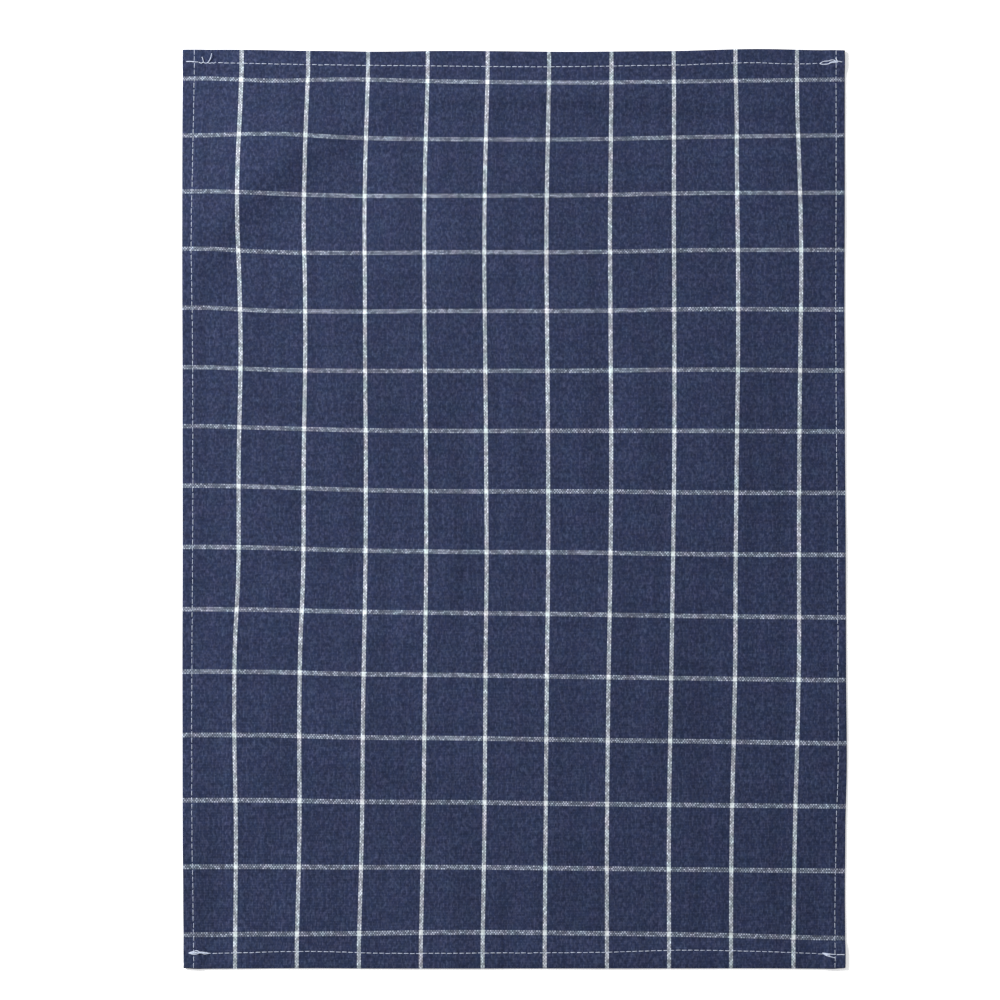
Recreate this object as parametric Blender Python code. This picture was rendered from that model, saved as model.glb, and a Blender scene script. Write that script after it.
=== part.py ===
"""A tea towel: one length of plain-woven cotton, hemmed on all four sides, lying face up and flat.

Z is up, Y runs along the cloth's length, and the origin is under the middle of the towel.
The cloth is one solid. Its underside is flat, and its face stands higher over the hems, where
the cloth is turned under twice, and highest at the corners, where one hem lies on the other.
"""

import math

import bmesh
import bpy

# Sizes, in metres.
WIDTH = 0.500
LENGTH = 0.693
CLOTH_HEIGHT = 0.0011
SIDE_HEM = 0.0085
END_HEM = 0.0135
HEM_RISE = 0.0008
HEM_SLOPE = 0.0016
EDGE_ROUNDING = 0.0007
EDGE_WALL = 0.55
FIELD_SPACING = 0.0090

NAVY = (0.038, 0.046, 0.102, 1.0)
CLOTH_ROUGHNESS = 0.9

# How far the long edges stray outwards from a straight side.
# Each row: place along the length, left edge, right edge.
SIDE_STRAY = (
    (0.3465, 0.0000, -0.0002),
    (0.2600, 0.0003, -0.0002),
    (0.1500, 0.0004, -0.0004),
    (0.0700, 0.0003, -0.0001),
    (-0.0300, 0.0002, 0.0005),
    (-0.1200, 0.0004, 0.0008),
    (-0.1900, 0.0003, 0.0013),
    (-0.2450, 0.0002, 0.0002),
    (-0.2900, -0.0002, -0.0001),
    (-0.3465, -0.0006, 0.0003),
)

# How far the hemmed ends stray outwards from a straight end.
# Each row: place across the width, bottom end, top end.
END_STRAY = (
    (-0.2500, -0.0006, 0.0008),
    (-0.2380, 0.0000, 0.0008),
    (-0.2100, -0.0002, 0.0008),
    (-0.1500, -0.0005, 0.0000),
    (-0.1050, -0.0002, -0.0005),
    (-0.0450, -0.0002, 0.0001),
    (0.0450, -0.0003, -0.0006),
    (0.1100, -0.0003, -0.0001),
    (0.1850, -0.0004, 0.0015),
    (0.2380, -0.0001, 0.0006),
    (0.2500, -0.0006, 0.0004),
)

# The main creases, each a soft ridge in the face, steep on one side and slow on the other.
# Each row: start x, start y, end x, end y, bow to the left of that line, height, width of the
# steep side on the line's right, width of the slow side on its left.
CREASES = (
    (-0.266, 0.130, -0.074, 0.310, 0.037, 0.0014, 0.024, 0.060),
    (-0.120, 0.309, 0.232, 0.301, 0.003, 0.0006, 0.010, 0.022),
    (-0.066, -0.112, -0.026, -0.006, 0.007, 0.0005, 0.012, 0.032),
)


def smooth_step(share):
    """Rises gently from 0 to 1 as share goes from 0 to 1."""
    share = min(1.0, max(0.0, share))
    return share * share * (3.0 - 2.0 * share)


def from_table(rows, place, column):
    """The value of one column at a place between two rows, eased from row to row."""
    rows = sorted(rows)
    if place <= rows[0][0]:
        return rows[0][column]
    for low, high in zip(rows, rows[1:]):
        if place <= high[0]:
            share = smooth_step((place - low[0]) / (high[0] - low[0]))
            return low[column] + (high[column] - low[column]) * share
    return rows[-1][column]


def lines_across(size, hem):
    """Where the rows or columns of points lie: close together over a hem, even between."""
    inner = hem + HEM_SLOPE
    count = math.ceil((size - 2.0 * inner) / FIELD_SPACING)
    near_edge = [0.0, EDGE_ROUNDING, hem * 0.5, hem]
    field = [inner + (size - 2.0 * inner) * step / count for step in range(count + 1)]
    far_edge = [size - place for place in reversed(near_edge)]
    return [place - size / 2.0 for place in near_edge + field + far_edge]


def hem_share(place, size, hem):
    """1 over a hem, 0 over the single cloth, and between the two on the hem's inner slope."""
    from_edge = size / 2.0 - abs(place)
    return 1.0 - smooth_step((from_edge - hem) / HEM_SLOPE)


def crease_height(x, y):
    """How far the creases lift the face at this place."""
    height = 0.0
    for start_x, start_y, end_x, end_y, bow, rise, steep, slow in CREASES:
        run_x, run_y = end_x - start_x, end_y - start_y
        run = math.hypot(run_x, run_y)
        along = ((x - start_x) * run_x + (y - start_y) * run_y) / run**2
        if 0.0 < along < 1.0:
            beside = ((y - start_y) * run_x - (x - start_x) * run_y) / run
            beside -= bow * 4.0 * along * (1.0 - along)
            width = slow if beside > 0.0 else steep
            fade = math.sin(math.pi * along) ** 0.8
            height += rise * fade * math.exp(-((beside / width) ** 2))
    return height


def face_height(x, y, on_outline):
    """Height of the cloth's face above what the towel lies on."""
    hems = hem_share(x, WIDTH, SIDE_HEM) + hem_share(y, LENGTH, END_HEM)
    height = CLOTH_HEIGHT + HEM_RISE * hems
    if on_outline:
        return height * EDGE_WALL
    return height + crease_height(x, y)


def stretch_to_outline(x, y):
    """Moves a place on the straight rectangle to where the uneven outline carries it."""
    side_stray = from_table(SIDE_STRAY, y, 2 if x > 0.0 else 1)
    end_stray = from_table(END_STRAY, x, 2 if y > 0.0 else 1)
    return x * (1.0 + side_stray / (WIDTH / 2.0)), y * (1.0 + end_stray / (LENGTH / 2.0))


def make_towel():
    """The hemmed cloth: a grid laid out as the face, closed by a flat underside."""
    columns = lines_across(WIDTH, SIDE_HEM)
    rows = lines_across(LENGTH, END_HEM)
    last_column, last_row = len(columns) - 1, len(rows) - 1
    bm = bmesh.new()
    bmesh.ops.create_grid(bm, x_segments=last_column, y_segments=last_row, size=1.0)
    for vert in bm.verts:
        column = round((vert.co.x + 1.0) / 2.0 * last_column)
        row = round((vert.co.y + 1.0) / 2.0 * last_row)
        x, y = columns[column], rows[row]
        on_outline = column in (0, last_column) or row in (0, last_row)
        vert.co.z = face_height(x, y, on_outline)
        vert.co.x, vert.co.y = stretch_to_outline(x, y)

    face = list(bm.faces)
    under = bmesh.ops.extrude_face_region(bm, geom=face, use_keep_orig=True)["geom"]
    for part in under:
        if isinstance(part, bmesh.types.BMVert):
            part.co.z = 0.0
    bmesh.ops.recalc_face_normals(bm, faces=bm.faces)
    underside = [f for f in bm.faces if all(v.co.z == 0.0 for v in f.verts)]
    bmesh.ops.dissolve_faces(bm, faces=underside)
    bmesh.ops.recalc_face_normals(bm, faces=bm.faces)

    low = [min(v.co[axis] for v in bm.verts) for axis in (0, 1)]
    high = [max(v.co[axis] for v in bm.verts) for axis in (0, 1)]
    for vert in bm.verts:
        vert.co.x -= (low[0] + high[0]) / 2.0
        vert.co.y -= (low[1] + high[1]) / 2.0
    mesh = bpy.data.meshes.new("towel")
    bm.to_mesh(mesh)
    bm.free()
    mesh.shade_smooth()
    mesh.set_sharp_from_angle(angle=math.radians(35.0))
    return bpy.data.objects.new("towel", mesh)


def cotton():
    """Matt navy cotton."""
    material = bpy.data.materials.new("navy_cotton")
    material.use_nodes = True
    shader = material.node_tree.nodes["Principled BSDF"]
    shader.inputs["Base Color"].default_value = NAVY
    shader.inputs["Roughness"].default_value = CLOTH_ROUGHNESS
    shader.inputs["Metallic"].default_value = 0.0
    return material


for leftover in list(bpy.data.objects):
    bpy.data.objects.remove(leftover)

collection = bpy.data.collections.new("tea_towel")
bpy.context.scene.collection.children.link(collection)
towel = make_towel()
towel.data.materials.append(cotton())
collection.objects.link(towel)
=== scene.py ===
"""A tea towel laid out flat and face up: navy cotton with a white windowpane check, hemmed all round.

Sizes are in metres unless a name says otherwise. X runs across the towel, Y along it towards the
end with the thread tails, and Z up out of its face. The middle of the towel lies over the origin.
"""

import math

import bmesh
import bpy
import numpy as np
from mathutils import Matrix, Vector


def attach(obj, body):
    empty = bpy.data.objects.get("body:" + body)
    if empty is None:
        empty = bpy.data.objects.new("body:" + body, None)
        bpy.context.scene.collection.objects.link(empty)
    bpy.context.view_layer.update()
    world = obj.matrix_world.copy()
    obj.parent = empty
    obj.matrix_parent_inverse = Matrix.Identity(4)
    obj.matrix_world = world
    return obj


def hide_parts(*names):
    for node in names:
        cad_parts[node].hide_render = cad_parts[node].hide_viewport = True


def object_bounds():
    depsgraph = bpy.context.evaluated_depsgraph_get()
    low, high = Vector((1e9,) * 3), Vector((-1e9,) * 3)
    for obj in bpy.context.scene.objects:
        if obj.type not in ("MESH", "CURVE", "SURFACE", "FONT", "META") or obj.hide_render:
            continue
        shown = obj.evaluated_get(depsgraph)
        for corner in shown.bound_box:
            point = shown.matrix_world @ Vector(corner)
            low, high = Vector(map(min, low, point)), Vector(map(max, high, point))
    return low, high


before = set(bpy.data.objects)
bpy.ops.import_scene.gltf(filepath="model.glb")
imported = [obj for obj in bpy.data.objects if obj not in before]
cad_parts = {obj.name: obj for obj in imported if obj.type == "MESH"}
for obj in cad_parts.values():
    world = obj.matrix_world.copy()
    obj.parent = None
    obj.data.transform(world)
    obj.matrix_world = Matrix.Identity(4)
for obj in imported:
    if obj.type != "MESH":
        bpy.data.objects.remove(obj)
cad_low, cad_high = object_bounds()


# ---------------------------------------------------------------------------------------------
# The cloth. One length of plain-woven cotton, dyed as yarn: navy, with a few white ends and picks
# at even counts that cross as a windowpane check. It is cut a little large, and each edge is
# turned under twice and pressed: the two sides first, then the two ends over them.
# ---------------------------------------------------------------------------------------------

LAYER = 0.00036
DRAWN_LAYER = LAYER * 0.94
SIDE_TUCK = 0.0065
END_TUCK = 0.0090
SEAM_TO_HEM_FOLD = 0.0014
HEM_SLOPE = 0.0090
CORNER_PRESS = 0.28
CREASE_LEFT_AT_EDGE = 0.50
CREASE_EASE = 0.032
FIELD_SPACING = 0.0037
RIM_ROOM = 0.004
WAVE_COUNT = 22
SHORTEST_WAVE = 0.035
LONGEST_WAVE = 0.120
WAVE_HEIGHT = 0.00006
WAVE_LIFT = 3.0

# Where each hem is stitched, as the distance in from the towel's edge.
# Each row: place along the side, left seam, right seam.
SIDE_SEAMS = (
    (0.337, 0.0090, 0.0068),
    (0.285, 0.0084, 0.0066),
    (0.250, 0.0078, 0.0067),
    (0.202, 0.0070, 0.0068),
    (0.157, 0.0075, 0.0068),
    (-0.190, 0.0072, 0.0066),
    (-0.247, 0.0072, 0.0071),
    (-0.278, 0.0074, 0.0074),
    (-0.322, 0.0078, 0.0080),
)
# Each row: place along the end, bottom seam, top seam.
END_SEAMS = (
    (-0.246, 0.0118, 0.0096),
    (-0.220, 0.0119, 0.0102),
    (-0.155, 0.0128, 0.0107),
    (-0.094, 0.0116, 0.0108),
    (-0.040, 0.0118, 0.0119),
    (0.062, 0.0123, 0.0113),
    (0.130, 0.0139, 0.0108),
    (0.178, 0.0131, 0.0106),
    (0.213, 0.0121, 0.0110),
    (0.250, 0.0106, 0.0090),
)

# How the threads wander, in millimetres from where an even weave would put them. The warp's rows
# are places along the towel, and its columns the first, second, third, fifth, eighth, ninth and
# tenth stripe.
WARP_STRIPES = (0, 1, 2, 4, 7, 8, 9)
WARP_WANDER = (
    (331.0, 1.7, 5.2, 3.7, 0.2, 0.2, 0.0, -0.4),
    (302.0, 0.8, 4.0, 2.8, -0.5, 0.4, 0.8, -0.1),
    (259.0, -1.0, 2.6, 1.4, -1.7, 0.4, 1.1, 1.4),
    (217.0, -1.4, 1.7, 0.8, -2.3, 0.3, 1.6, 2.6),
    (173.0, -0.1, 2.6, 1.1, -2.3, 0.6, 2.0, 2.9),
    (128.0, 0.8, 2.9, 1.2, -1.8, 0.7, 2.0, 2.3),
    (36.0, -0.6, 1.7, 1.8, -1.0, 0.6, 1.0, 1.4),
    (-55.0, -1.1, 1.1, 1.4, -0.7, -0.5, 0.1, 1.2),
    (-103.0, -3.4, -0.8, 0.5, -1.3, -1.2, 0.0, 1.3),
    (-151.0, -3.9, -1.5, -0.2, -1.6, -2.0, -0.7, 0.5),
    (-246.0, -2.7, -1.5, -1.2, -2.4, -3.4, -2.8, -1.9),
    (-328.0, -3.2, -3.5, -3.4, -3.6, -3.3, -3.3, -3.0),
)
# The weft's rows are stripes counted down from the top, and its columns places across the towel.
WEFT_PLACES = (-230.0, -181.0, -134.0, -43.0, 49.0, 143.0, 231.0)
WEFT_WANDER = (
    (0, 3.0, 1.3, 2.3, 0.8, 0.0, 1.1, 2.4),
    (1, 2.3, 3.3, 1.1, -0.3, -0.3, 1.5, 2.6),
    (2, 2.9, 1.4, 0.1, 0.0, 0.3, 2.0, 2.2),
    (3, 3.1, 0.8, 0.2, 0.7, 0.8, 2.3, 2.5),
    (5, 2.3, 0.4, -0.3, -0.4, -0.3, 0.5, -0.2),
    (7, 3.5, 2.4, 0.7, -0.8, -0.8, -1.7, -1.9),
    (9, 3.0, 2.4, 1.3, 0.2, -0.9, -2.3, -3.1),
    (11, 2.9, 2.7, 1.4, 0.5, -0.8, -1.9, -3.3),
    (13, 0.5, 0.5, 0.2, 0.2, -0.7, -1.7, -2.5),
    (14, -1.4, -0.9, -0.7, 0.4, -0.3, -1.6, -3.8),
)
FIRST_WARP_STRIPE = -0.2077
WARP_REPEAT = 0.0468
TOP_WEFT_STRIPE = 0.3216
WEFT_REPEAT = 0.04205
WEFT_OPENING = 0.00027
ENDS_PER_CHECK = 48
PICKS_PER_CHECK = 41
WHITE_ENDS = 3
WHITE_PICKS = 3

# Creases left by folding and storing. Each is steep on one side and fades out on the other, and
# is pressed flatter where it comes near an edge.
# Each row: start, end, bow, height, width of the steep side, width of the slow side.
CREASES = (
    ((-0.268, 0.132), (-0.076, 0.312), 0.037, 0.00600, 0.022, 0.100),
    ((-0.125, 0.309), (0.236, 0.301), 0.003, 0.00220, 0.006, 0.026),
    ((-0.204, -0.022), (-0.138, 0.030), 0.003, 0.00090, 0.008, 0.026),
    ((-0.068, -0.120), (-0.024, 0.004), 0.007, 0.00150, 0.011, 0.045),
    ((0.150, 0.100), (0.256, 0.108), 0.001, 0.00080, 0.009, 0.026),
    ((0.108, 0.053), (0.178, 0.044), 0.001, 0.00060, 0.009, 0.014),
    ((-0.174, -0.092), (-0.176, -0.016), 0.002, 0.00055, 0.008, 0.018),
    ((-0.094, -0.222), (-0.092, -0.120), 0.002, 0.00045, 0.009, 0.020),
    ((-0.036, 0.130), (-0.032, 0.226), 0.001, 0.00050, 0.009, 0.020),
    ((-0.126, 0.132), (-0.130, 0.200), 0.001, 0.00040, 0.008, 0.016),
    ((0.150, 0.165), (0.152, 0.292), 0.001, 0.00045, 0.010, 0.022),
    ((0.092, -0.258), (0.098, -0.150), -0.003, 0.00075, 0.014, 0.030),
    ((0.148, -0.074), (0.152, -0.014), 0.001, 0.00045, 0.009, 0.020),
)


def eased(share):
    """Rises gently from 0 to 1 as share goes from 0 to 1."""
    share = np.clip(share, 0.0, 1.0)
    return share * share * (3.0 - 2.0 * share)


def curve_through(knots, values, places):
    """Reads a smooth curve through the knots at the places. Values hold a last axis of knots."""
    knots = np.asarray(knots, float)
    values = np.broadcast_to(np.asarray(values, float), (*np.shape(places), len(knots)))
    slopes = np.gradient(values, knots, axis=-1)
    places = np.clip(places, knots[0], knots[-1])
    before = np.clip(np.searchsorted(knots, places) - 1, 0, len(knots) - 2)
    gap = knots[before + 1] - knots[before]
    share = (places - knots[before]) / gap
    picked = [
        np.take_along_axis(table, (before + step)[..., None], -1)[..., 0]
        for table, step in ((values, 0), (values, 1), (slopes, 0), (slopes, 1))
    ]
    start, end, start_slope, end_slope = picked
    turn = eased(share)
    return (
        start * (1.0 - turn)
        + end * turn
        + start_slope * gap * share * (1.0 - share) ** 2
        - end_slope * gap * share**2 * (1.0 - share)
    )


def from_rows(rows, column, places):
    """One column of a table whose first column is a place, read smoothly at any places."""
    table = np.array(sorted(rows), float)
    return curve_through(table[:, 0], table[:, column], places)


# The towel's outline is the outline of the solid that the frame holds.
solid_points = np.array([v.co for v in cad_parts["towel"].data.vertices])
rim = solid_points[np.isclose(solid_points[:, 2], cad_low.z, atol=1e-5)]


def rim_line(axis, limit):
    """The side of the outline that lies near this limit on this axis, as places and distances."""
    line = rim[np.abs(rim[:, axis] - limit) < RIM_ROOM]
    line = line[np.argsort(line[:, 1 - axis])]
    return line[:, 1 - axis], line[:, axis]


LEFT_RIM, RIGHT_RIM = rim_line(0, cad_low.x), rim_line(0, cad_high.x)
BOTTOM_RIM, TOP_RIM = rim_line(1, cad_low.y), rim_line(1, cad_high.y)


def side_edge(side, along):
    """How far the left (-1) or right (1) edge stands from the middle, along the towel."""
    return np.where(side < 0, -np.interp(along, *LEFT_RIM), np.interp(along, *RIGHT_RIM))


def end_edge(end, across):
    """How far the bottom (-1) or top (1) edge stands from the middle, across the towel."""
    return np.where(end < 0, -np.interp(across, *BOTTOM_RIM), np.interp(across, *TOP_RIM))


def side_seam(side, along):
    """Distance from the side edge to its row of stitches."""
    left, right = (from_rows(SIDE_SEAMS, column, along) for column in (1, 2))
    return np.where(side < 0, left, right)


def end_seam(end, across):
    """Distance from the end edge to its row of stitches."""
    bottom, top = (from_rows(END_SEAMS, column, across) for column in (1, 2))
    return np.where(end < 0, bottom, top)


def fold_under(inward, hem, layer, depth):
    """Turns cloth under twice. Inward is the distance in from the edge measured on the cloth, and
    depth how far below the cloth's face; both come back as they are once the hem is folded.
    A hem is three layers, so its outer turn has its middle one and a half layers down. The inner
    turn only goes round one layer, and has its middle two layers down."""
    outer_middle = 1.5 * layer
    inner_middle = hem - layer
    turned = np.maximum(outer_middle - inward, 0.0)
    outer_turn = np.clip(turned / layer, 0.0, math.pi)
    turned = np.maximum(turned - math.pi * layer, 0.0)
    under = np.minimum(turned, inner_middle - outer_middle)
    turned = np.maximum(turned - under, 0.0)
    inner_turn = np.clip(turned / (layer / 2.0), 0.0, math.pi)
    tucked = np.maximum(turned - math.pi * layer / 2.0, 0.0)
    outer_radius = 1.5 * layer - depth
    inner_radius = layer - depth
    folded_inward = np.where(
        inward > outer_middle,
        inward,
        outer_middle - outer_radius * np.sin(outer_turn) + under
        + inner_radius * np.sin(inner_turn) - tucked,
    )
    folded_depth = np.where(
        inner_turn > 0.0,
        2.0 * layer + inner_radius * np.cos(inner_turn),
        1.5 * layer - outer_radius * np.cos(outer_turn),
    )
    return folded_inward, folded_depth


def crease_height(x, y):
    """How far the creases lift the cloth."""
    height = np.zeros(np.shape(x))
    for (start_x, start_y), (end_x, end_y), bow, rise, steep, slow in CREASES:
        run_x, run_y = end_x - start_x, end_y - start_y
        run = math.hypot(run_x, run_y)
        along = ((x - start_x) * run_x + (y - start_y) * run_y) / run**2
        beside = ((y - start_y) * run_x - (x - start_x) * run_y) / run
        beside = beside - bow * 4.0 * along * (1.0 - along)
        inside = np.clip(along, 0.0, 1.0)
        fade = np.sin(math.pi * inside) ** 0.8
        width = np.where(beside > 0.0, slow, steep)
        height += rise * fade * np.exp(-((beside / width) ** 2))
    return height


chance = np.random.default_rng(11)
# Each row: length of the wave, its heading, and where along it the towel's middle lies.
WAVES = [
    (chance.uniform(SHORTEST_WAVE, LONGEST_WAVE), chance.uniform(0, math.tau), chance.uniform(0, math.tau))
    for _ in range(WAVE_COUNT)
]


def soft_height(x, y):
    """The faint swells that a pressed cloth keeps when it is laid out."""
    swell = np.zeros(np.shape(x))
    for length, heading, phase in WAVES:
        run = x * math.cos(heading) + y * math.sin(heading)
        swell += (length / LONGEST_WAVE) * np.sin(math.tau * run / length + phase)
    return WAVE_HEIGHT * np.maximum(swell + WAVE_LIFT, 0.0)


def on_towel(across, along, depth):
    """Where a point of the cut cloth comes to lie. Across and along are measured on the flat
    cloth from the towel's middle, and depth down from the cloth's face."""
    side, end = np.where(across < 0, -1.0, 1.0), np.where(along < 0, -1.0, 1.0)
    edge = side_edge(side, along)
    inward = edge - np.abs(across)
    hem = side_seam(side, along) + SEAM_TO_HEM_FOLD
    side_share = 1.0 - eased((inward - hem) / HEM_SLOPE)
    folded_inward, depth = fold_under(inward, hem, LAYER, depth)
    x = side * (edge - folded_inward)

    edge = end_edge(end, x)
    inward = edge - np.abs(along)
    hem = end_seam(end, x) + SEAM_TO_HEM_FOLD
    end_share = 1.0 - eased((inward - hem) / HEM_SLOPE)
    pressed = 1.0 - CORNER_PRESS * side_share * end_share
    stack = LAYER * (1.0 + 2.0 * side_share) * pressed
    folded_inward, depth = fold_under(inward, hem, stack, depth * pressed)
    y = end * (edge - folded_inward)

    from_edge = np.minimum(side_edge(side, y) - np.abs(x), end_edge(end, x) - np.abs(y))
    settled = CREASE_LEFT_AT_EDGE + (1.0 - CREASE_LEFT_AT_EDGE) * eased(from_edge / CREASE_EASE)
    lift = crease_height(x, y) * settled + soft_height(x, y)
    z = stack * (1.0 + 2.0 * end_share) - depth + lift
    return np.stack([x, y, z], -1)


def thread_counts(across, along, x, y):
    """The end and the pick that pass through a point, counted from the first white ones."""
    x_mm, y_mm = x * 1000.0, y * 1000.0
    warp = np.array(sorted(WARP_WANDER), float)
    columns = [curve_through(warp[:, 0], warp[:, k + 1], y_mm) for k in range(len(WARP_STRIPES))]
    stripe = (x - FIRST_WARP_STRIPE) / WARP_REPEAT
    warp_wander = curve_through(WARP_STRIPES, np.stack(columns, -1), stripe) / 1000.0
    ends = (across - warp_wander - FIRST_WARP_STRIPE) / WARP_REPEAT * ENDS_PER_CHECK

    def stripes_down(down):
        """Weft stripes passed on the way down; the checks open out a little towards the bottom."""
        opened = np.sqrt(WEFT_REPEAT**2 + 4.0 * WEFT_OPENING * down)
        return (opened - WEFT_REPEAT) / (2.0 * WEFT_OPENING)

    stripe = stripes_down(np.maximum(TOP_WEFT_STRIPE - y, 0.0))
    weft = np.array(WEFT_WANDER, float)
    columns = [curve_through(weft[:, 0], weft[:, k + 1], stripe) for k in range(len(WEFT_PLACES))]
    weft_wander = curve_through(WEFT_PLACES, np.stack(columns, -1), x_mm) / 1000.0
    picks = stripes_down(TOP_WEFT_STRIPE - (along - weft_wander)) * PICKS_PER_CHECK
    return ends + WHITE_ENDS / 2.0, picks + WHITE_PICKS / 2.0


def hem_lines(hem, layer, tuck):
    """Lines of points over one hem, as distances in from the edge on the cloth, raw edge first."""
    outer = 1.5 * layer
    under = outer - math.pi * layer
    inner = under - (hem - 2.5 * layer)
    tucked = inner - math.pi * layer / 2.0
    stops = (tucked - tuck, tucked, inner, under, outer, hem - SEAM_TO_HEM_FOLD, hem, hem + HEM_SLOPE)
    steps_between = (3, 4, 5, 6, 4, 2, 4)  # closer together round the folds
    lines = []
    for low, high, count in zip(stops, stops[1:], steps_between):
        lines += [low + (high - low) * step / count for step in range(count)]
    return lines + [stops[-1]]


def cloth_lines(low_edge, high_edge, low_hem, high_hem, layer, tuck, count):
    """Lines of points right across the cloth: over one hem, over the field, over the other hem."""
    low = [line - low_edge for line in hem_lines(low_hem, layer, tuck)]
    high = [high_edge - line for line in reversed(hem_lines(high_hem, layer, tuck))]
    field = [low[-1] + (high[0] - low[-1]) * step / count for step in range(1, count)]
    return np.stack([np.broadcast_to(line, np.shape(low_edge)) for line in low + field + high])


half_width, half_length = cad_high.x, cad_high.y
columns_in_field = round(2.0 * half_width / FIELD_SPACING)
rows_in_field = round(2.0 * half_length / FIELD_SPACING)
usual_side_hem = side_seam(1, 0.0) + SEAM_TO_HEM_FOLD
usual_end_hem = end_seam(1, 0.0) + SEAM_TO_HEM_FOLD

# A first, straight set of rows and columns says where to read the uneven edges and hems.
flat_columns = cloth_lines(
    half_width, half_width, usual_side_hem, usual_side_hem, LAYER, SIDE_TUCK, columns_in_field
)
flat_rows = cloth_lines(
    half_length, half_length, usual_end_hem, usual_end_hem, LAYER, END_TUCK, rows_in_field
)
read_x = np.clip(flat_columns, -half_width, half_width)
read_y = np.clip(flat_rows, -half_length, half_length)

across = cloth_lines(
    side_edge(-1, read_y), side_edge(1, read_y),
    side_seam(-1, read_y) + SEAM_TO_HEM_FOLD, side_seam(1, read_y) + SEAM_TO_HEM_FOLD,
    LAYER, SIDE_TUCK, columns_in_field,
)
over_side = 1.0 - eased((half_width - np.abs(read_x) - usual_side_hem) / HEM_SLOPE)
along = cloth_lines(
    end_edge(-1, read_x), end_edge(1, read_x),
    end_seam(-1, read_x) + SEAM_TO_HEM_FOLD, end_seam(1, read_x) + SEAM_TO_HEM_FOLD,
    LAYER * (1.0 + 2.0 * over_side) * (1.0 - CORNER_PRESS * over_side), END_TUCK, rows_in_field,
)
along = along.T

grid = bmesh.new()
last_column, last_row = across.shape[0] - 1, across.shape[1] - 1
bmesh.ops.create_grid(grid, x_segments=last_column, y_segments=last_row, size=1.0)
cloth_mesh = bpy.data.meshes.new("towel_cloth")
grid.to_mesh(cloth_mesh)
grid.free()

square = np.array([v.co for v in cloth_mesh.vertices])
column = np.rint((square[:, 0] + 1.0) / 2.0 * last_column).astype(int)
row = np.rint((square[:, 1] + 1.0) / 2.0 * last_row).astype(int)
cut_x, cut_y = across[column, row], along[column, row]
places = on_towel(cut_x, cut_y, LAYER / 2.0)
cloth_mesh.vertices.foreach_set("co", places.astype(np.float32).ravel())


def add_map(mesh, name, horizontal, vertical):
    """Keeps two numbers for each point of the mesh as a UV map that the material can read."""
    corners = np.zeros(len(mesh.loops), int)
    mesh.loops.foreach_get("vertex_index", corners)
    pairs = np.stack([horizontal[corners], vertical[corners]], -1)
    mesh.uv_layers.new(name=name).data.foreach_set("uv", pairs.astype(np.float32).ravel())


# Each row of stitches: length of a stitch, place of the first hole, place of the last hole.
SIDE_ROW = (0.0050, -0.3468, 0.3468)
END_ROWS = {-1: (0.00465, -0.2332, 0.2330), 1: (0.0047, -0.2241, 0.2290)}


def holes_passed(row, place):
    """Stitches sewn on the way from a row's first hole to a place along it."""
    stitch, first, last = row
    return (place - first) / (last - first) * round((last - first) / stitch)


side, end = np.where(cut_x < 0, -1, 1), np.where(cut_y < 0, -1, 1)
from_side_seam = side_edge(side, cut_y) - np.abs(cut_x) - side_seam(side, cut_y)
from_end_seam = end_edge(end, cut_x) - np.abs(cut_y) - end_seam(end, cut_x)
end_stitches = np.where(end < 0, *(holes_passed(END_ROWS[way], cut_x) for way in (-1, 1)))
add_map(cloth_mesh, "threads", *thread_counts(cut_x, cut_y, places[:, 0], places[:, 1]))
add_map(cloth_mesh, "side_seam", from_side_seam * 1000.0, holes_passed(SIDE_ROW, cut_y))
add_map(cloth_mesh, "end_seam", from_end_seam * 1000.0, end_stitches)
cloth_mesh.shade_smooth()
cloth = bpy.data.objects.new("towel_cloth", cloth_mesh)
bpy.context.scene.collection.objects.link(cloth)
thickness = cloth.modifiers.new("cloth_thickness", "SOLIDIFY")
thickness.thickness = DRAWN_LAYER
thickness.offset = 0.0


# Nearly all of a noise lies between these two values.
NOISE_LOW, NOISE_HIGH = 0.3, 0.7


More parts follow.
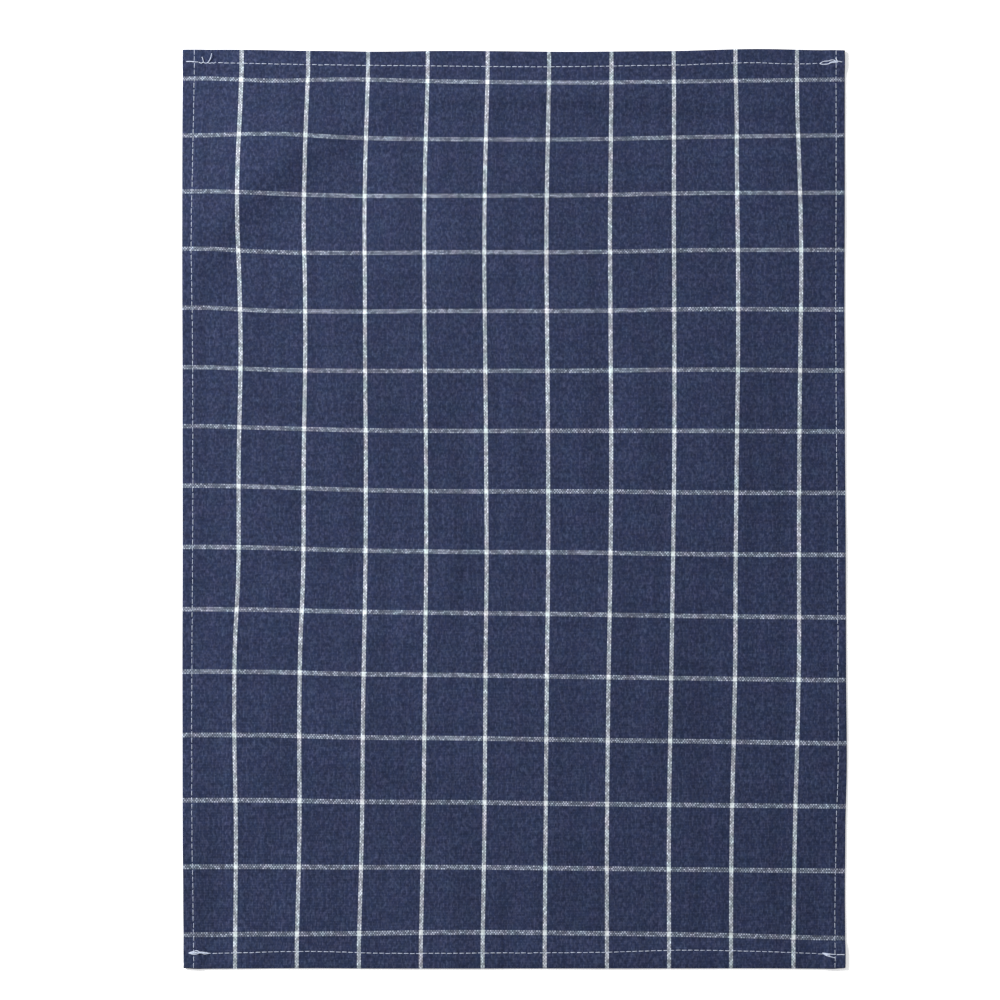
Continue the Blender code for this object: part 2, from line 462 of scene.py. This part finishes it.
class Recipe:
    """Builds one material's nodes: each call adds a node and gives back what comes out of it."""

    def __init__(self, name):
        self.material = bpy.data.materials.new(name)
        self.material.use_nodes = True
        self.nodes = self.material.node_tree.nodes
        self.shader = self.nodes["Principled BSDF"]

    def join(self, value, socket):
        """Puts a number, a colour or another node's output into a socket."""
        if isinstance(value, bpy.types.NodeSocket):
            self.material.node_tree.links.new(value, socket)
        else:
            socket.default_value = value

    def sum(self, operation, *values):
        """One step of arithmetic."""
        node = self.nodes.new("ShaderNodeMath")
        node.operation = operation
        for value, socket in zip(values, node.inputs):
            self.join(value, socket)
        return node.outputs[0]

    def place(self, x, y=0.0, z=0.0):
        """A point made from its coordinates."""
        node = self.nodes.new("ShaderNodeCombineXYZ")
        for value, socket in zip((x, y, z), node.inputs):
            self.join(value, socket)
        return node.outputs[0]

    def parts(self, vector):
        """The first two coordinates of a point."""
        node = self.nodes.new("ShaderNodeSeparateXYZ")
        self.join(vector, node.inputs[0])
        return node.outputs[0], node.outputs[1]

    def map(self, name):
        """The two numbers kept in one of the mesh's maps."""
        node = self.nodes.new("ShaderNodeUVMap")
        node.uv_map = name
        return self.parts(node.outputs[0])

    def noise(self, vector, scale, detail):
        """Smooth noise around one half."""
        node = self.nodes.new("ShaderNodeTexNoise")
        self.join(vector, node.inputs["Vector"])
        node.inputs["Scale"].default_value = scale
        node.inputs["Detail"].default_value = detail
        return node.outputs["Fac"]

    def chance(self, vector):
        """A number between 0 and 1 that jumps from one whole place to the next."""
        node = self.nodes.new("ShaderNodeTexWhiteNoise")
        self.join(vector, node.inputs["Vector"])
        return node.outputs["Value"]

    def fit(self, value, low, high, to_low=0.0, to_high=1.0, smooth=False):
        """Turns the range low to high into another range."""
        node = self.nodes.new("ShaderNodeMapRange")
        node.interpolation_type = "SMOOTHSTEP" if smooth else "LINEAR"
        for given, socket in zip((value, low, high, to_low, to_high), node.inputs):
            self.join(given, socket)
        return node.outputs[0]

    def blend(self, share, first, second, how="MIX"):
        """Mixes two colours. The node's colours are its inputs 6 and 7, and its output 2."""
        node = self.nodes.new("ShaderNodeMix")
        node.data_type = "RGBA"
        node.blend_type = how
        self.join(share, node.inputs[0])
        self.join(first, node.inputs[6])
        self.join(second, node.inputs[7])
        return node.outputs[2]

    def relief(self, height, distance, strength):
        """Feeds a height, where 1 stands for the distance, to the shader as bumps."""
        node = self.nodes.new("ShaderNodeBump")
        node.inputs["Strength"].default_value = strength
        node.inputs["Distance"].default_value = distance
        self.join(height, node.inputs["Height"])
        self.join(node.outputs[0], self.shader.inputs["Normal"])


def check_cotton():
    """Plain weave: every end goes over one pick and under the next. Warp and weft are both navy,
    the warp a little bluer, and it covers more of the face than the weft."""
    dark_warp, pale_warp = (0.0146, 0.0266, 0.0715, 1.0), (0.0474, 0.0630, 0.1270, 1.0)
    dark_weft, pale_weft = (0.0220, 0.0252, 0.0750, 1.0), (0.0547, 0.0615, 0.1310, 1.0)
    white_warp, white_weft = (0.695, 0.765, 0.840, 1.0), (0.740, 0.815, 0.965, 1.0)
    # Where white crosses white: a plain white without the painted hollow shade, painted brighter for the
    # light that passes between white yarns, and how far the colour goes to it.
    lit_white_crossing, lit_white_share = (0.700, 0.758, 0.778, 1.0), 0.9

    # The weave: how full a yarn's round is, how far it bends over and under, how much the warp
    # stands out over the weft, and how softly the one gives way to the other.
    fullness, crimp, warp_lead, fuzz = 0.92, 0.46, 0.70, 2.40
    low_yarn, high_yarn = 0.25, 1.50
    # Painted shade and light: the colour is darkened in the hollows between yarns and made paler on their
    # tops.
    painted_hollow_shade, painted_top_light = 0.51, 1.10
    matt_below, hollow_roughness, top_roughness = 0.20, 0.95, 0.70
    relief_depth, relief_strength = 0.00012, 0.8

    # Each kind of unevenness: how fast it changes over the ends, how fast over the picks or along
    # the yarn, and the least and the most that it makes of the colour.
    dye, slub = (0.731, 0.014, 0.76, 1.24), (0.917, 0.21, 0.68, 1.32)
    mottle = (0.40, 0.34, 0.74, 1.26)
    long_bands, cross_bands = (0.085, 0.006, 0.88, 1.12), (0.005, 0.100, 0.93, 1.07)
    cloud_pace, cloud_redness, cloud_greenness = 0.080, (0.93, 1.07), (1.03, 0.97)
    # Painted glint: the least and the most brightness that a float is given for the light it catches.
    least_painted_glint, most_painted_glint = 0.42, 2.05
    dull_tone, bright_tone = 0.4, 2.0
    white_dull_tone, white_bright_tone, white_top = 0.3, 1.6, 1.15
    dullest_white_warp, dullest_white_weft = 0.50, 0.30

    # A seam's dent: how fast it fades to either side, and its depth between and at the holes.
    dent_fade, dent_between, dent_at_hole = 0.9, 0.3, 1.9

    cotton = Recipe("navy_check_cotton")
    ends, picks = cotton.map("threads")
    end, pick = cotton.sum("FLOOR", ends), cotton.sum("FLOOR", picks)
    across_end = cotton.sum("SUBTRACT", cotton.sum("SUBTRACT", ends, end), 0.5)
    across_pick = cotton.sum("SUBTRACT", cotton.sum("SUBTRACT", picks, pick), 0.5)

    def roundness(across_yarn):
        """How high a yarn's rounded back stands, from its middle out to its sides."""
        return cotton.sum("COSINE", cotton.sum("MULTIPLY", across_yarn, math.pi * fullness))

    def rise(way, count):
        """Goes up and down along a yarn, and the next yarn's goes down and up."""
        return cotton.sum("SINE", cotton.sum("MULTIPLY", cotton.sum("ADD", way, count), math.pi))

    warp_height = cotton.sum(
        "ADD", cotton.sum("MULTIPLY", rise(picks, end), crimp), roundness(across_end)
    )
    weft_height = cotton.sum(
        "ADD", cotton.sum("MULTIPLY", rise(ends, pick), -crimp), roundness(across_pick)
    )
    lead = cotton.sum("ADD", cotton.sum("SUBTRACT", warp_height, weft_height), warp_lead)
    warp_shows = cotton.fit(lead, -fuzz, fuzz, smooth=True)
    height = cotton.sum("MAXIMUM", warp_height, weft_height)

    def is_white(count, repeat, white):
        """1 for the first few yarns of each check, which are white, and 0 for the rest. The half
        keeps whole counts clear of rounding."""
        within = cotton.sum("FLOORED_MODULO", cotton.sum("ADD", count, 0.5), float(repeat))
        return cotton.sum("LESS_THAN", within, float(white))

    def scaled(first, first_pace, second, second_pace, layer):
        """A point to read noise at. Each use has a layer of its own, so that no two look alike."""
        first = cotton.sum("MULTIPLY", first, first_pace)
        return cotton.place(first, cotton.sum("MULTIPLY", second, second_pace), layer)

    def uneven(kind, first, second, layer):
        """One kind of unevenness, as a factor for the colour."""
        first_pace, second_pace, least, most = kind
        noise = cotton.noise(scaled(first, first_pace, second, second_pace, layer), 1.0, 2.0)
        return cotton.fit(noise, NOISE_LOW, NOISE_HIGH, least, most)

    def yarn_tone(count, way, shift, layer):
        """Every yarn has its own depth of dye and thick and thin stretches, and each place where it comes
        up to the face gets a painted glint of its own, a random brightening or dulling of its colour."""
        depth = cotton.sum(
            "MULTIPLY", uneven(dye, count, way, layer), uneven(slub, count, way, layer + 5.0)
        )
        turn = cotton.sum("ADD", cotton.sum("ADD", way, count), shift)
        turn = cotton.sum("FLOOR", cotton.sum("MULTIPLY", turn, 0.5))
        # Painted glint: each float gets a random brightness, squared so that bright flecks are rare.
        painted_glint = cotton.sum("POWER", cotton.chance(cotton.place(count, turn, layer)), 2.0)
        return cotton.sum("MULTIPLY", depth, cotton.fit(painted_glint, 0.0, 1.0, least_painted_glint, most_painted_glint))

    def white_tone(tone, dull):
        """White yarn shows the same unevenness and painted glint, but less of it."""
        return cotton.fit(tone, white_dull_tone, white_bright_tone, dull, white_top)

    def shaded(colour, tone):
        """The colour made darker or paler by a tone."""
        return cotton.blend(1.0, colour, cotton.place(tone, tone, tone), "MULTIPLY")

    warp_tone = yarn_tone(end, picks, 0.5, 0.0)
    weft_tone = yarn_tone(pick, ends, -0.5, 20.0)
    white_end = is_white(end, ENDS_PER_CHECK, WHITE_ENDS)
    white_pick = is_white(pick, PICKS_PER_CHECK, WHITE_PICKS)
    warp_colour = cotton.blend(
        white_end,
        cotton.blend(cotton.fit(warp_tone, dull_tone, bright_tone), dark_warp, pale_warp),
        shaded(white_warp, white_tone(warp_tone, dullest_white_warp)),
    )
    weft_colour = cotton.blend(
        white_pick,
        cotton.blend(cotton.fit(weft_tone, dull_tone, bright_tone), dark_weft, pale_weft),
        shaded(white_weft, white_tone(weft_tone, dullest_white_weft)),
    )
    colour = cotton.blend(warp_shows, weft_colour, warp_colour)
    # Painted shade: lower parts of the weave get a darker colour, higher parts a paler one.
    colour = shaded(colour, cotton.fit(height, low_yarn, high_yarn, painted_hollow_shade, painted_top_light))
    # Painted light: where white crosses white, the colour goes most of the way to a brighter plain white
    # without the painted hollow shade.
    white_on_white = cotton.sum("MULTIPLY", white_end, white_pick)
    colour = cotton.blend(cotton.sum("MULTIPLY", white_on_white, lit_white_share), colour, lit_white_crossing)

    # The dye drifts a little from blue to violet over the cloth, and its depth from band to band.
    cloudy = cotton.noise(scaled(ends, cloud_pace, picks, cloud_pace, 3.0), 1.0, 3.0)
    redder = cotton.fit(cloudy, NOISE_LOW, NOISE_HIGH, *cloud_redness)
    greener = cotton.fit(cloudy, NOISE_LOW, NOISE_HIGH, *cloud_greenness)
    colour = cotton.blend(1.0, colour, cotton.place(redder, greener, 1.0), "MULTIPLY")
    bands = cotton.sum(
        "MULTIPLY", uneven(long_bands, ends, picks, 11.0), uneven(cross_bands, ends, picks, 13.0)
    )
    colour = shaded(colour, cotton.sum("MULTIPLY", uneven(mottle, ends, picks, 9.0), bands))
    cotton.join(colour, cotton.shader.inputs["Base Color"])
    roughness = cotton.fit(height, matt_below, high_yarn, hollow_roughness, top_roughness)
    cotton.join(roughness, cotton.shader.inputs["Roughness"])
    cotton.shader.inputs["Specular IOR Level"].default_value = 0.12
    cotton.shader.inputs["Sheen Weight"].default_value = 0.03
    cotton.shader.inputs["Sheen Roughness"].default_value = 0.6

    def seam_pull(name):
        """The dent that a row of stitches presses into the cloth, deepest at the needle holes."""
        from_seam, stitch = cotton.map(name)
        away = cotton.sum("POWER", from_seam, 2.0)
        near = cotton.sum("EXPONENT", cotton.sum("MULTIPLY", away, -dent_fade))
        holes = cotton.sum("COSINE", cotton.sum("MULTIPLY", stitch, math.tau))
        dent = cotton.fit(holes, -1.0, 1.0, -dent_between, -dent_at_hole)
        return cotton.sum("MULTIPLY", near, dent)

    pulls = cotton.sum("ADD", seam_pull("side_seam"), seam_pull("end_seam"))
    cotton.relief(cotton.sum("ADD", height, pulls), relief_depth, relief_strength)
    return cotton.material


cloth_mesh.materials.append(check_cotton())
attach(cloth, "root")
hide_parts("towel")


# ---------------------------------------------------------------------------------------------
# The seams. Each hem is held by one row of machine lockstitch in white cotton thread, sewn just
# short of the hem's inner fold. It shows on the face and, as the bobbin thread's row, behind.
# ---------------------------------------------------------------------------------------------

SIDE_THREAD_RADIUS = 0.00019
END_THREAD_RADIUS = 0.00022
BOBBIN_RADIUS = 0.00016
BOBBIN_DEPTH = 0.00012
STITCH_GAP = 0.0008
STITCH_DIVE = 0.06
STITCH_RISE = 0.00018
STITCH_STRAY = 0.00008


def sewing_thread():
    """Matt white cotton thread, a little fuzzy, with painted shade and some wear: its colour goes at
    random towards a darker, bluer copy of it.
    """
    white = (0.72, 0.79, 0.92, 1.0)
    wear_and_shade = (0.42, 0.47, 0.62, 1.0)
    wear_and_shade_pace, fuzz_pace = 420.0, 5200.0
    least_roughness, most_roughness = 0.7, 0.95
    fuzz_depth, fuzz_strength = 0.00006, 0.7
    thread = Recipe("white_sewing_thread")
    where = thread.nodes.new("ShaderNodeTexCoord").outputs["Object"]
    # Painted shade with some wear: noise mixes the white with a darker, bluer copy of it.
    clean_and_lit = thread.fit(thread.noise(where, wear_and_shade_pace, 2.0), NOISE_LOW, NOISE_HIGH)
    thread.join(thread.blend(clean_and_lit, wear_and_shade, white), thread.shader.inputs["Base Color"])
    fuzz = thread.noise(where, fuzz_pace, 2.0)
    roughness = thread.fit(fuzz, NOISE_LOW, NOISE_HIGH, least_roughness, most_roughness)
    thread.join(roughness, thread.shader.inputs["Roughness"])
    thread.shader.inputs["Sheen Weight"].default_value = 0.15
    thread.relief(fuzz, fuzz_depth, fuzz_strength)
    return thread.material


thread_material = sewing_thread()


def lay_threads(name, runs, radius):
    """Makes one piece of sewing thread from runs of points, each tapered where it dives."""
    curve = bpy.data.curves.new(name, "CURVE")
    curve.dimensions = "3D"
    curve.bevel_depth = radius
    curve.bevel_resolution = 1
    curve.use_fill_caps = True
    for run in runs:
        spline = curve.splines.new("POLY")
        spline.points.add(len(run) - 1)
        spline.points.foreach_set("co", np.c_[run, np.ones(len(run))].astype(np.float32).ravel())
    drawn = bpy.data.objects.new(name, curve)
    bpy.context.scene.collection.objects.link(drawn)
    bpy.context.view_layer.update()
    mesh = bpy.data.meshes.new_from_object(drawn.evaluated_get(bpy.context.evaluated_depsgraph_get()))
    bpy.data.objects.remove(drawn)
    mesh.name = name
    mesh.shade_smooth()
    mesh.materials.clear()
    mesh.materials.append(thread_material)
    piece = bpy.data.objects.new(name, mesh)
    bpy.context.scene.collection.objects.link(piece)
    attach(piece, "root")
    return piece


needle = np.random.default_rng(5)


def stitch_run(start, end):
    """Points along one stitch from hole to hole, as places along the seam and depths below the
    face. It comes up out of one hole, lies on the cloth, and dives into the next."""
    inset = STITCH_GAP / 2.0 / abs(end - start)
    dived, up = inset + STITCH_DIVE, 0.3
    shares = np.array([inset, dived, up, 0.5, 1.0 - up, 1.0 - dived, 1.0 - inset])
    depths = np.array([2.4, 0.6, -0.6, -0.8, -0.6, 0.6, 2.4]) * STITCH_RISE
    return start + (end - start) * shares, depths


def seam_row(row, place, depth):
    """A row of stitches, at a depth. Place turns steps along the seam, and a stray off it, into
    points on the towel."""
    stitch, first, last = row
    runs = []
    holes = np.linspace(first, last, round((last - first) / stitch) + 1)
    for start, end in zip(holes, holes[1:]):
        slip, stray = needle.normal(0.0, STITCH_STRAY, 2)
        steps, depths = stitch_run(start + slip, end + slip)
        runs.append(place(steps, stray, depths + depth))
    return runs


def side_place(side, behind):
    """Points along a side's seam, on the face or behind it, where the hem is turned under."""
    def place(along, stray, depths):
        seam = side_seam(side, along) + stray
        if behind:
            seam = (3.0 - math.pi) * LAYER - seam
        return on_towel(side * (side_edge(side, along) - seam), along, depths)
    return place


def end_place(end, behind):
    """Points along an end's seam, on the face or behind it, where the hem is turned under."""
    def place(across, stray, depths):
        seam = end_seam(end, across) + stray
        if behind:
            seam = (3.0 - math.pi) * LAYER - seam
        return on_towel(across, end * (end_edge(end, across) - seam), depths)
    return place


for side, name in ((-1, "left"), (1, "right")):
    face_runs = seam_row(SIDE_ROW, side_place(side, False), 0.0)
    lay_threads(f"stitches_{name}", face_runs, SIDE_THREAD_RADIUS)
    stitch, first, last = SIDE_ROW
    back_row = (stitch, first + END_TUCK, last - END_TUCK)
    back_runs = seam_row(back_row, side_place(side, True), BOBBIN_DEPTH)
    lay_threads(f"bobbin_stitches_{name}", back_runs, BOBBIN_RADIUS)
for end, name in ((-1, "bottom"), (1, "top")):
    face_runs = seam_row(END_ROWS[end], end_place(end, False), 0.0)
    lay_threads(f"stitches_{name}", face_runs, END_THREAD_RADIUS)
    back_runs = seam_row(END_ROWS[end], end_place(end, True), BOBBIN_DEPTH)
    lay_threads(f"bobbin_stitches_{name}", back_runs, BOBBIN_RADIUS)


# ---------------------------------------------------------------------------------------------
# The thread ends. Each end seam starts and stops with a back-tack, a few stitches sewn over one
# another where it crosses the side seam, and its cut ends are left loose on the face.
# ---------------------------------------------------------------------------------------------

USUAL_SIDE_SEAM = 0.0074
STRAND_STEPS = 6

# Each strand, in millimetres: the thread's radius, then its points from where the two seams
# cross: to the right, towards the top, and up off the cloth.
TOP_LEFT_STRANDS = (
    (0.38, (-6.0, 0.3, 0.0), (-3.2, 0.4, 0.3), (0.3, 0.1, 0.1)),
    (0.22, (0.5, 0.1, 0.0), (1.6, 0.0, 0.1), (2.8, 0.0, 0.0)),
    (0.28, (3.4, -0.2, 0.0), (5.4, -0.9, 0.2), (6.7, -0.1, 0.3), (8.4, -0.8, 0.1), (10.5, -0.4, 0.3)),
    (0.24, (9.6, -0.3, 0.1), (11.8, -0.9, 0.2), (13.4, -0.5, 0.1), (14.8, -0.8, 0.2), (16.2, 0.0, -0.1)),
    (0.28, (6.9, -0.2, 0.1), (6.6, 1.7, 0.7), (5.8, 3.9, 1.1)),
    (0.28, (10.2, -0.4, 0.1), (11.9, 2.0, 0.9), (12.7, 4.2, 1.4), (13.2, 6.4, 1.7)),
)
TOP_RIGHT_STRANDS = (
    (0.34, (-12.3, -0.8, 0.0), (-9.9, -1.4, 0.2), (-5.7, -1.2, 0.3), (-3.6, -0.3, 0.3), (1.0, -0.2, 0.1)),
    (0.28, (-12.3, -0.8, 0.0), (-9.4, 0.7, 0.3), (-5.7, 1.0, 0.4), (-3.2, 1.7, 0.4), (-1.1, 1.4, 0.3)),
    (0.30, (-1.6, 1.5, 0.3), (0.2, 0.6, 0.4), (2.4, 0.6, 0.3), (4.4, 0.2, 0.0)),
    (0.36, (-5.0, -0.2, 0.2), (-2.1, 0.4, 0.5), (1.2, 0.4, 0.2)),
    (0.26, (-0.4, 3.3, 0.1), (0.3, 2.0, 0.4), (1.3, 0.6, 0.3)),
)
BOTTOM_LEFT_STRANDS = (
    (
        0.38, (-3.7, 0.1, 0.0), (-0.5, 1.2, 0.3), (2.6, 1.9, 0.4),
        (4.4, 0.9, 0.3), (7.2, 0.6, 0.3), (11.2, -0.2, 0.0),
    ),
    (
        0.36, (-3.7, 0.0, 0.0), (-0.3, -0.7, 0.3), (2.6, -0.5, 0.4),
        (5.1, 0.3, 0.4), (8.1, -0.7, 0.3), (11.5, -0.2, 0.0),
    ),
    (0.40, (-2.6, 0.2, 0.1), (0.6, 0.3, 0.6), (3.4, 0.7, 0.6), (6.4, 0.0, 0.5), (10.2, 0.3, 0.1)),
)
BOTTOM_RIGHT_STRANDS = (
    (0.34, (-9.6, 0.9, 0.0), (-5.3, 0.5, 0.3), (-2.3, 0.1, 0.3), (0.5, 0.0, 0.0)),
    (0.32, (-9.4, 0.6, 0.0), (-6.5, -0.9, 0.3), (-4.0, -1.6, 0.3), (0.3, -2.7, 0.1)),
    (0.46, (-8.4, 0.3, 0.1), (-6.0, -0.2, 0.3), (-3.8, -0.6, 0.2)),
    (0.34, (1.3, -0.2, 0.0), (4.2, -0.1, 0.3), (7.0, -0.2, 0.0)),
)


def strand_run(side, end, points):
    """A strand's points, smoothed and laid on the face near the corner where two seams cross."""
    across = side * (half_width - USUAL_SIDE_SEAM)
    cross_y = end * (end_edge(end, across) - end_seam(end, across))
    cross_x = side * (side_edge(side, cross_y) - side_seam(side, cross_y))
    steps = np.linspace(0.0, len(points) - 1.0, STRAND_STEPS * (len(points) - 1) + 1)
    offsets = np.stack([curve_through(range(len(points)), column, steps) for column in zip(*points)])
    x, y, height = offsets / 1000.0
    return on_towel(cross_x + x, cross_y + y, -height)


corners = (
    ("top_left", -1, 1, TOP_LEFT_STRANDS),
    ("top_right", 1, 1, TOP_RIGHT_STRANDS),
    ("bottom_left", -1, -1, BOTTOM_LEFT_STRANDS),
    ("bottom_right", 1, -1, BOTTOM_RIGHT_STRANDS),
)
for name, side, end, strands in corners:
    for number, (radius, *points) in enumerate(strands, 1):
        run = strand_run(side, end, points)
        lay_threads(f"thread_end_{name}_{number}", [run], radius / 1000.0)


# ---------------------------------------------------------------------------------------------
# The studio. The towel lies on a plain white sheet of card, under a large soft light on its
# upper left and an even white room, with the camera straight above.
# ---------------------------------------------------------------------------------------------

CARD_WHITE = (0.92, 0.92, 0.92, 1.0)
CARD_GLOW = 0.50
CARD_SIZE = 12.0
FRAME_WIDTH = 0.7550
CAMERA_HEIGHT = 2.6
CAMERA_OFF_CENTRE = (-0.0110, 0.0067)
CARD_DROP = 0.0002
LIGHT_PLACE = (-1.9, 1.25, 1.60)
LIGHT_WIDTH = 0.9
LIGHT_POWER = 114.0
ROOM_LIGHT = 0.34

floor_mesh = bpy.data.meshes.new("floor")
card = bmesh.new()
bmesh.ops.create_grid(card, x_segments=1, y_segments=1, size=CARD_SIZE / 2.0)
bmesh.ops.translate(card, verts=card.verts, vec=(0.0, 0.0, -CARD_DROP))
card.to_mesh(floor_mesh)
card.free()
floor = bpy.data.objects.new("floor", floor_mesh)
bpy.context.scene.collection.objects.link(floor)
paper = Recipe("white_card")
paper.shader.inputs["Base Color"].default_value = CARD_WHITE
paper.shader.inputs["Roughness"].default_value = 0.9
paper.shader.inputs["Emission Color"].default_value = CARD_WHITE
paper.shader.inputs["Emission Strength"].default_value = CARD_GLOW
floor_mesh.materials.append(paper.material)

light_data = bpy.data.lights.new("soft_light", "AREA")
light_data.shape = "DISK"
light_data.size = LIGHT_WIDTH
light_data.energy = LIGHT_POWER
soft_light = bpy.data.objects.new("soft_light", light_data)
soft_light.location = LIGHT_PLACE
soft_light.rotation_euler = (-soft_light.location).to_track_quat("-Z", "Y").to_euler()
bpy.context.scene.collection.objects.link(soft_light)

room = bpy.data.worlds.new("white_room")
room.use_nodes = True
room.node_tree.nodes["Background"].inputs["Color"].default_value = (1.0, 1.0, 1.0, 1.0)
room.node_tree.nodes["Background"].inputs["Strength"].default_value = ROOM_LIGHT
bpy.context.scene.world = room
bpy.context.scene.view_settings.view_transform = "Standard"

camera_data = bpy.data.cameras.new("camera")
camera_data.sensor_width = 36.0
camera_data.lens = camera_data.sensor_width * CAMERA_HEIGHT / FRAME_WIDTH
camera = bpy.data.objects.new("camera", camera_data)
camera.location = (*CAMERA_OFF_CENTRE, CAMERA_HEIGHT)
bpy.context.scene.collection.objects.link(camera)
bpy.context.scene.camera = camera
